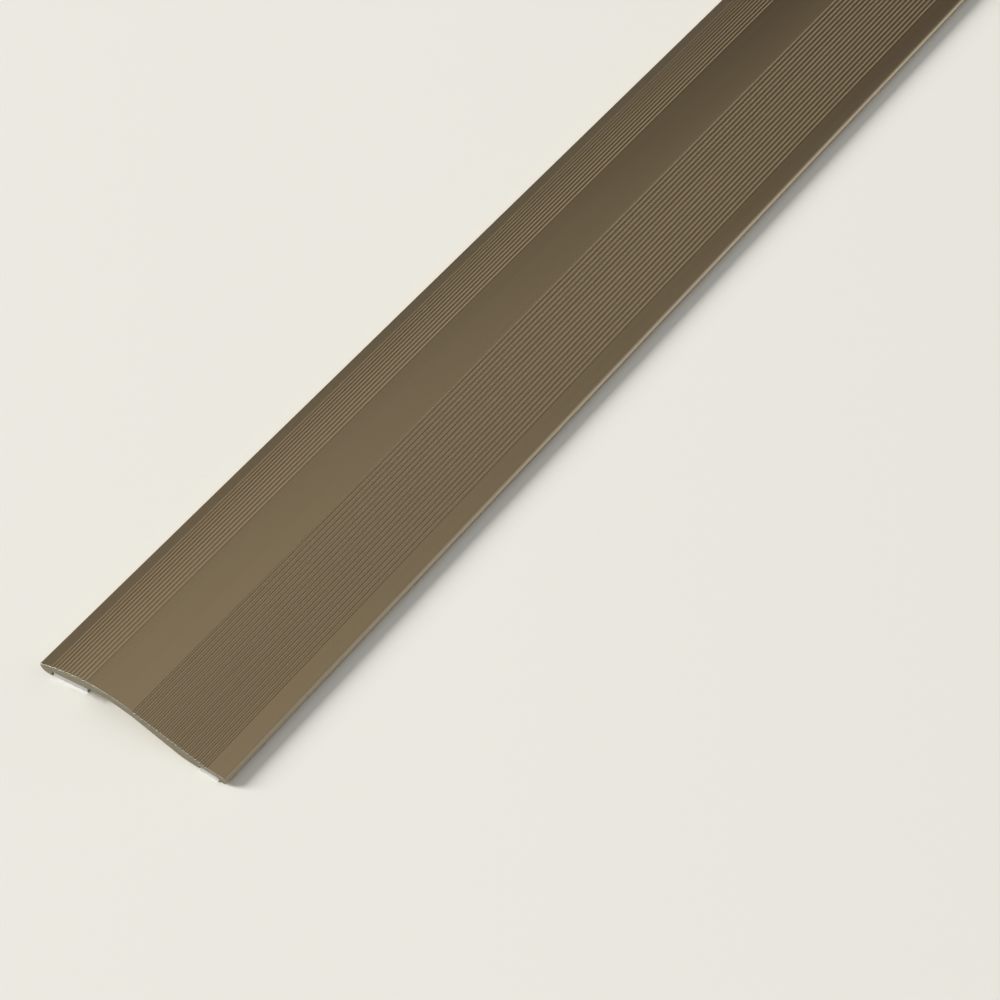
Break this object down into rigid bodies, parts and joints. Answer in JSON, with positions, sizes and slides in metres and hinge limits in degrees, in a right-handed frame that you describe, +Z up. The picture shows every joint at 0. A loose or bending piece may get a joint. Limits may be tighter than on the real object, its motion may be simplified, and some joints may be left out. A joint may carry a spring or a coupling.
{
  "type": "threshold strip",
  "caption": "Self-adhesive ribbed aluminium threshold strip, a shallow asymmetric dome with foam tape and peel-off liner under each long edge.",
  "frame": {"origin": "middle of the resting plane, which holds the right release liner's underside and the left one's outer edge, halfway along the strip", "axes": "+Z up out of the tread, +Y along the strip, +X across it towards the rounded nose and the wide ribbed slope; the steep smooth lip is at -X"},
  "size_m": [0.04, 0.9014, 0.0054],
  "materials": {
    "anodised_aluminium": "satin anodised, bronze; cut ends bare",
    "foam_tape": "pale grey closed-cell foam, matte",
    "release_liner": "siliconed paper, slightly glossy"
  },
  "bodies": {
    "strip": {"cover_strip": "anodised_aluminium", "left_foam_tape": "foam_tape", "right_foam_tape": "foam_tape"},
    "left_liner": {"left_release_liner": "release_liner"},
    "right_liner": {"right_release_liner": "release_liner"}
  },
  "joints": [
    {"name": "left_liner_peel", "type": "slide", "parent": "strip", "child": "left_liner", "axis": [0, -1, 0], "range_m": [0, 0.905]},
    {"name": "right_liner_peel", "type": "slide", "parent": "strip", "child": "right_liner", "axis": [0, -1, 0], "range_m": [0, 0.905]}
  ]
}
